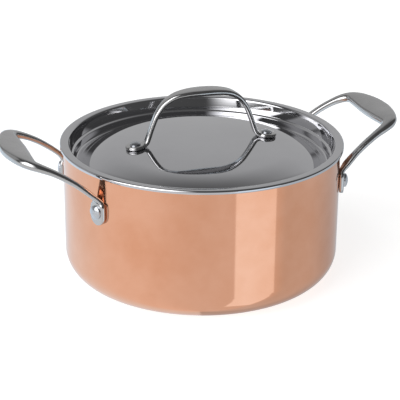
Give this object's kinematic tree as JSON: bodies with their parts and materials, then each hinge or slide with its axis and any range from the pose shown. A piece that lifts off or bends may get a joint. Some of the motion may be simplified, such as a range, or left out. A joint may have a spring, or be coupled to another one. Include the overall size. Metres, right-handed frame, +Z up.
{
  "type": "saucepan with lid",
  "caption": "Copper-clad casserole pan with straight walls, bent steel loop handles riveted at the sides and a lift-off recessed steel lid with its own riveted handle",
  "frame": {"origin": "centre of the pot's underside, on the surface it stands on", "axes": "+Z up along the pot's axis; the two side handles lie along X; the lid handle lies along X too, turned 3 degrees"},
  "size_m": [0.3034, 0.2096, 0.1408],
  "materials": {
    "copper": "polished copper with a light satin grain",
    "aluminium_core": "raw rolled sheet, seen only at the rim",
    "liner_steel": "satin",
    "handle_steel": "polished cast stainless steel",
    "lid_steel": "mirror-polished pressed stainless steel",
    "rivet_steel": "smooth, slightly matt"
  },
  "bodies": {
    "pot": {"copper_shell": "copper", "aluminium_core": "aluminium_core", "steel_liner": "liner_steel", "right_side_handle": "handle_steel", "left_side_handle": "handle_steel", "right_front_handle_rivet": "rivet_steel", "right_back_handle_rivet": "rivet_steel", "left_front_handle_rivet": "rivet_steel", "left_back_handle_rivet": "rivet_steel"},
    "lid": {"lid_pan": "lid_steel", "lid_handle": "handle_steel", "right_lid_rivet": "rivet_steel", "left_lid_rivet": "rivet_steel"}
  },
  "joints": [
    {"name": "lid_lift", "type": "slide", "parent": "pot", "child": "lid", "axis": [0, 0, 1], "range_m": [0, 0.12]}
  ]
}
